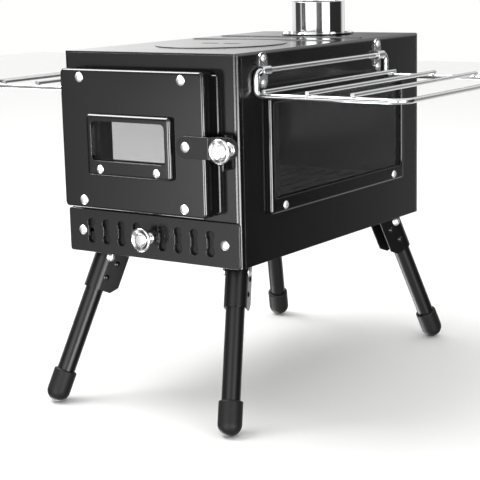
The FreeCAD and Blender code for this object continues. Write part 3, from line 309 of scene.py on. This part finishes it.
def outline(mesh, width, height, corner, middle=(0, 0, 0)):
    # edges of a flat rounded rectangle
    corners = bmesh.ops.create_grid(mesh, x_segments=1, y_segments=1, size=0.5)["verts"]
    bmesh.ops.scale(mesh, vec=(width, height, 1), verts=corners)
    bmesh.ops.translate(mesh, vec=middle, verts=corners)
    bmesh.ops.bevel(mesh, geom=corners, offset=corner, affect="VERTICES", segments=plateSteps["corner"],
                    profile=0.5, material=-1)
    return openFace(mesh)


def raiseWall(mesh, edges, depth):
    # gives the upper edges of a wall that stands on these
    wall = bmesh.ops.extrude_edge_only(mesh, edges=edges)["geom"]
    raised = [part for part in wall if isinstance(part, bmesh.types.BMVert)]
    bmesh.ops.translate(mesh, vec=(0, 0, depth), verts=raised)
    edges = [part for part in wall if isinstance(part, bmesh.types.BMEdge)]
    return [edge for edge in edges if all(vert in raised for vert in edge.verts)]


def roundLip(mesh, edges, width, height, middle, lip):
    # turns a window's wall outwards through a quarter circle
    turns = [n * pi / (2 * plateSteps["lip"]) for n in range(plateSteps["lip"] + 1)]
    for start, end in zip(turns, turns[1:]):
        edges = raiseWall(mesh, edges, lip * (sin(end) - sin(start)))
        was, now = lip * (1 - cos(start)), lip * (1 - cos(end))
        wider = [(size + 2 * now) / (size + 2 * was) for size in (width, height)]
        bmesh.ops.scale(mesh, vec=(*wider, 1), space=Matrix.Translation(-middle),
                        verts=list({vert for edge in edges for vert in edge.verts}))
    return edges


def pressedPlate(width, height, depth, corner, bands, windowCorner, roll, lip):
    # a plate with a window, whose face looks along +Z
    mesh = bmesh.new()
    back = outline(mesh, width, height, corner)
    front = raiseWall(mesh, back, depth)
    bmesh.ops.contextual_create(mesh, geom=front)
    bmesh.ops.bevel(mesh, geom=front, offset=roll, affect="EDGES", segments=plateSteps["roll"],
                    profile=0.5, material=-1)
    front = openFace(mesh)
    left, right, below, above = bands
    wide, tall = width - left - right, height - below - above
    middle = Vector(((left - right) / 2, (below - above) / 2, 0))
    window = outline(mesh, wide, tall, windowCorner, middle)
    back += window
    window = raiseWall(mesh, window, depth - lip)
    if lip:
        window = roundLip(mesh, window, wide, tall, middle, lip)
    front += window
    for edges in (back, front):
        bmesh.ops.triangle_fill(mesh, edges=edges, use_beauty=True)
    bmesh.ops.recalc_face_normals(mesh, faces=mesh.faces)
    return mesh


# a face that looks along +Z turned to the front, right and left of the stove
facing = {"front": Matrix(((1, 0, 0), (0, 0, -1), (0, 1, 0))),
          "right": Matrix(((0, 0, 1), (1, 0, 0), (0, 1, 0))),
          "left": Matrix(((0, 0, -1), (-1, 0, 0), (0, 1, 0)))}


def addPlate(name, node, side, body, plate):
    low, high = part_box(node)
    middle = (low + high) / 2
    size = high - low
    width, depth = (size.x, size.y) if side == "front" else (size.y, size.x)
    back = {"front": (middle.x, high.y, middle.z), "right": (low.x, middle.y, middle.z),
            "left": (high.x, middle.y, middle.z)}[side]
    mesh = pressedPlate(width, size.z, depth, **plate)
    turn = Matrix.Translation(back) @ facing[side].to_4x4()
    bmesh.ops.transform(mesh, matrix=turn, verts=mesh.verts)
    addPiece(name, mesh, rolledPaint, body, [node])


rolledPaint = heatPaint("rolledPaint", rough=(0.11, 0.15))
addPlate("doorCover", "door_cover", "front", "door", doorCover)
addPlate("doorFrame", "door_window_frame", "front", "door", doorFrame)
addPlate("seatRing", "door_seat", "front", "firebox", seatRing)
addPlate("sideFrameRight", "side_frame_right", "right", "firebox", sideFrame)
addPlate("sideFrameLeft", "side_frame_left", "left", "firebox", sideFrame)
print("pressed plates made")


# strips inside the firebox that hold the side panes, wide at the door's end
glassStops = {"wall": 0.0985, "sheet": 0.001, "front": (-0.1212, -0.105), "rear": (0.116, 0.1212),
              "height": (0.2035, 0.2925)}


def addGlassStops(wall, sheet, front, rear, height):
    mesh = bmesh.new()
    for side in (-1, 1):
        for start, end in (front, rear):
            strip = bmesh.ops.create_cube(mesh, size=1)["verts"]
            bmesh.ops.scale(mesh, vec=(sheet, end - start, height[1] - height[0]), verts=strip)
            middle = (side * (wall - sheet / 2), (start + end) / 2, sum(height) / 2)
            bmesh.ops.translate(mesh, vec=middle, verts=strip)
    soot = heatPaint("sootedStrip", shine=0.2, rough=(0.6, 0.7))
    addPiece("glassStops", mesh, soot, "firebox")


addGlassStops(**glassStops)
print("glass stops made")


# domed studs that close the leg brackets: the node's own, swollen
bracketStuds = {"swell": 1.4, "merge": 0.00001}


def addBracketStuds(swell, merge):
    mesh = bmesh.new()
    mesh.from_mesh(nodes["bracket_studs"].data)
    bmesh.ops.remove_doubles(mesh, verts=mesh.verts, dist=merge)
    waiting = set(mesh.verts)
    while waiting:
        stud, rim = set(), [waiting.pop()]
        while rim:
            vert = rim.pop()
            stud.add(vert)
            reached = {edge.other_vert(vert) for edge in vert.link_edges} & waiting
            waiting -= reached
            rim += reached
        middle = sum((vert.co for vert in stud), Vector()) / len(stud)
        bmesh.ops.scale(mesh, vec=(swell, swell, swell), space=Matrix.Translation(-middle),
                        verts=list(stud))
    addPiece("bracketStuds", mesh, finishes["dark_screw"], "firebox", ["bracket_studs"])


addBracketStuds(**bracketStuds)
print("bracket studs made")


# turned knobs: radius and height from the seat to the face, and the width of their softened edges
latchKnob = {
    "profile": [(0.0062, 0), (0.0062, 0.003), (0.0052, 0.004), (0.004, 0.005), (0.004, 0.0127),
                (0.006, 0.0137), (0.0099, 0.0147), (0.0112, 0.0164), (0.0112, 0.0175),
                (0.0107, 0.0184), (0.0096, 0.0188), (0.0069, 0.0181), (0.0066, 0.0183),
                (0.0064, 0.0213), (0.006, 0.0218)],
    "edge": 0.0003}
damperKnob = {
    "profile": [(0.0062, 0), (0.0062, 0.003), (0.0052, 0.004), (0.004, 0.005), (0.004, 0.0105),
                (0.006, 0.0115), (0.0099, 0.0125), (0.0112, 0.0142), (0.0112, 0.015),
                (0.0107, 0.0157), (0.0096, 0.016), (0.0069, 0.0153), (0.0062, 0.0154),
                (0.006, 0.0161), (0.005, 0.0167)],
    "edge": 0.0003}
knobTurning = {"steps": 96, "merge": 0.000001, "sharp": 25, "edgeSteps": 2, "crease": 60, "hub": 0.001}


def turnedKnob(profile, edge):
    mesh = bmesh.new()
    points = [(0, profile[0][1])] + profile + [(0, profile[-1][1])]
    verts = [mesh.verts.new((radius, 0, height)) for radius, height in points]
    edges = [mesh.edges.new(pair) for pair in zip(verts, verts[1:])]
    bmesh.ops.spin(mesh, geom=verts + edges, cent=(0, 0, 0), axis=(0, 0, 1), angle=2 * pi,
                   steps=knobTurning["steps"], use_merge=True, use_duplicate=False)
    bmesh.ops.remove_doubles(mesh, verts=mesh.verts, dist=knobTurning["merge"])
    bmesh.ops.recalc_face_normals(mesh, faces=mesh.faces)
    # edges that turn by more than sharp degrees, apart from those that meet at the hub
    sharp = [each for each in mesh.edges if each.calc_face_angle(0.0) > radians(knobTurning["sharp"])
             and min(vert.co.xy.length for vert in each.verts) > knobTurning["hub"]]
    bmesh.ops.bevel(mesh, geom=sharp, offset=edge, affect="EDGES", segments=knobTurning["edgeSteps"],
                    profile=0.5, material=-1)
    return mesh


def addKnob(name, node, cap, body, knob):
    low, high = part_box(node)
    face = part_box(cap)[0].y
    mesh = turnedKnob(**knob)
    reach = max(vert.co.z for vert in mesh.verts)
    place = ((low.x + high.x) / 2, face + reach, (low.z + high.z) / 2)
    turn = Matrix.Translation(place) @ facing["front"].to_4x4()
    bmesh.ops.transform(mesh, matrix=turn, verts=mesh.verts)
    addPiece(name, mesh, finishes["knob_chrome"], body, [node, cap], knobTurning["crease"])


addKnob("latchKnob", "latch_knob", "latch_knob_cap", "latch", latchKnob)
addKnob("damperKnob", "damper_knob", "damper_screw", "damper", damperKnob)
print("knobs turned")


floorPaper = {"size": 4.0, "colour": (0.9, 0.9, 0.89, 1.0), "rough": 0.7}
# what the stove mirrors: panels round it and cards below the eye line, each as degrees from the front
# towards the right and brightness; low, tableEdge and ceilingEdge are where one fades into the next
studio = {
    "white": (1.0, 1.0, 0.99, 1.0), "ceiling": 1.0, "table": 0.5,
    "tableEdge": (-0.7, -0.45), "low": (-0.09, -0.04), "ceilingEdge": (0.42, 0.62),
    "panels": [(-180, 1.0), (-156, 0.3), (-150, 0.35), (-147, 0.85), (-143, 1.25), (-138, 1.6),
               (-110, 1.1), (-78, 1.0), (-73, 0.06), (-46, 0.08), (-44, 0.9), (-41, 0.9),
               (-39, 0.1), (-22, 0.16), (-15, 3.0), (22, 3.0), (28, 0.25), (50, 0.06), (53, 3.0),
               (80, 3.0), (86, 0.03), (149, 0.03), (162, 0.8), (180, 1.0)],
    "cards": [(-180, 1.0), (-140, 1.2), (-118, 1.1), (-104, 0.06), (-50, 0.05), (-45, 0.35),
              (-42, 0.65), (-39, 1.0), (-36, 1.9), (-33, 2.4), (-31, 2.2), (-28, 0.2), (-18, 0.2),
              (-15, 3.0), (22, 3.0), (28, 0.25), (52, 0.06), (55, 3.0), (74, 3.0), (80, 0.02),
              (146, 0.02), (153, 0.25), (160, 0.8), (180, 1.0)]}
# boxes of light: place, how high they aim, size and brightness; a reflector shows only as a gleam
lamps = {"keyBox": {"place": (-0.95, -0.4, 1.85), "aim": 0.25, "size": (1.1, 1.1), "glow": 6.8},
         "topReflector": {"place": (-1.15, -0.5, 1.75), "aim": 0.3, "size": (1.0, 1.0), "glow": 12},
         "frontReflector": {"place": (0.1, -1.8, -0.05), "aim": 0.25, "size": (1.0, 0.4), "glow": 12},
         "sideReflector": {"place": (1.42, -0.85, -0.05), "aim": 0.25, "size": (0.95, 0.4), "glow": 16},
         "tableReflector": {"place": (-0.85, 0.2, -1.0), "aim": 0.25, "size": (0.8, 0.8), "glow": 9}}
studioCamera = {"place": (0.8001, -1.1784, 0.4182), "look": (-0.56005, 0.80525, -0.19471),
                "right": (0.82337, 0.56702, -0.02331), "up": (-0.09163, 0.17337, 0.98058),
                "lens": 105.4, "sensor": 36.0, "near": 0.05}


def addFloor(size, colour, rough):
    mesh = bmesh.new()
    bmesh.ops.create_grid(mesh, x_segments=1, y_segments=1, size=size)
    data = bpy.data.meshes.new("studioFloor")
    mesh.to_mesh(data)
    mesh.free()
    data.materials.append(Finish("floorPaper", {"Base Color": colour, "Roughness": rough}).material)
    floor = bpy.data.objects.new("studioFloor", data)
    floor.visible_glossy = False
    floor.visible_shadow = False
    scene.collection.objects.link(floor)


def addLight(name, place, aim, size, glow):
    lamp = bpy.data.lights.new(name, "AREA")
    lamp.shape = "RECTANGLE"
    lamp.size, lamp.size_y = size
    lamp.energy = glow * pi * size[0] * size[1]
    box = bpy.data.objects.new(name, lamp)
    box.location = place
    box.rotation_mode = "QUATERNION"
    box.rotation_quaternion = (Vector((0, 0, aim)) - Vector(place)).to_track_quat("-Z", "Y")
    box.visible_camera = False
    if "Reflector" in name:
        box.visible_diffuse = False
        box.visible_transmission = False
    scene.collection.objects.link(box)


def addWorld():
    # white to the eye; in reflections a ring of pale and dark panels between a table and a ceiling
    world = bpy.data.worlds.new("studio")
    scene.world = world
    world.use_nodes = True
    graph = Graph(world.node_tree)
    background = world.node_tree.nodes["Background"]
    toward = graph.node("ShaderNodeTexCoord", {}, {}, "Generated")
    x, y, z = [graph.node("ShaderNodeSeparateXYZ", {}, {"Vector": toward}, axis) for axis in "XYZ"]
    turn = x.maths("ARCTAN2", x, 0.0 - y) * (0.5 / pi) + 0.5

    def ring(name):
        stops = [((degrees + 180) / 360, (value, value, value, 1.0)) for degrees, value in studio[name]]
        return graph.node("ShaderNodeValToRGB", {"stops": stops}, {"Fac": turn})

    def above(edge):
        return graph.node("ShaderNodeMapRange", {"interpolation_type": "SMOOTHSTEP"},
                          {"Value": z, "From Min": edge[0], "From Max": edge[1]})

    def level(name):
        return [studio[name]] * 3 + [1.0]

    room = graph.mixed(above(studio["low"]), ring("cards"), ring("panels"))
    room = graph.mixed(above(studio["tableEdge"]), level("table"), room)
    room = graph.mixed(above(studio["ceilingEdge"]), room, level("ceiling"))
    seen = graph.node("ShaderNodeLightPath", {}, {}, "Is Camera Ray")
    through = graph.node("ShaderNodeLightPath", {}, {}, "Is Transmission Ray")
    bounces = graph.node("ShaderNodeLightPath", {}, {}, "Glossy Depth")
    # a pane passes the white on too, but not into a reflection
    seen = seen.maths("MAXIMUM", seen, through * (1.0 - bounces.maths("MINIMUM", bounces, 1.0)))
    graph.feed(background.inputs["Color"], graph.mixed(seen, room, studio["white"]))


def addCamera(place, look, right, up, lens, sensor, near):
    data = bpy.data.cameras.new("studioCamera")
    data.lens = lens
    data.sensor_width = sensor
    data.clip_start = near
    camera = bpy.data.objects.new("studioCamera", data)
    turn = Matrix((right, up, -Vector(look))).transposed().to_4x4()
    camera.matrix_world = Matrix.Translation(place) @ turn
    scene.collection.objects.link(camera)
    scene.camera = camera


addFloor(**floorPaper)
addWorld()
for name, lamp in lamps.items():
    addLight(name, **lamp)
addCamera(**studioCamera)
scene.view_settings.view_transform = "Standard"
print("stage ready")
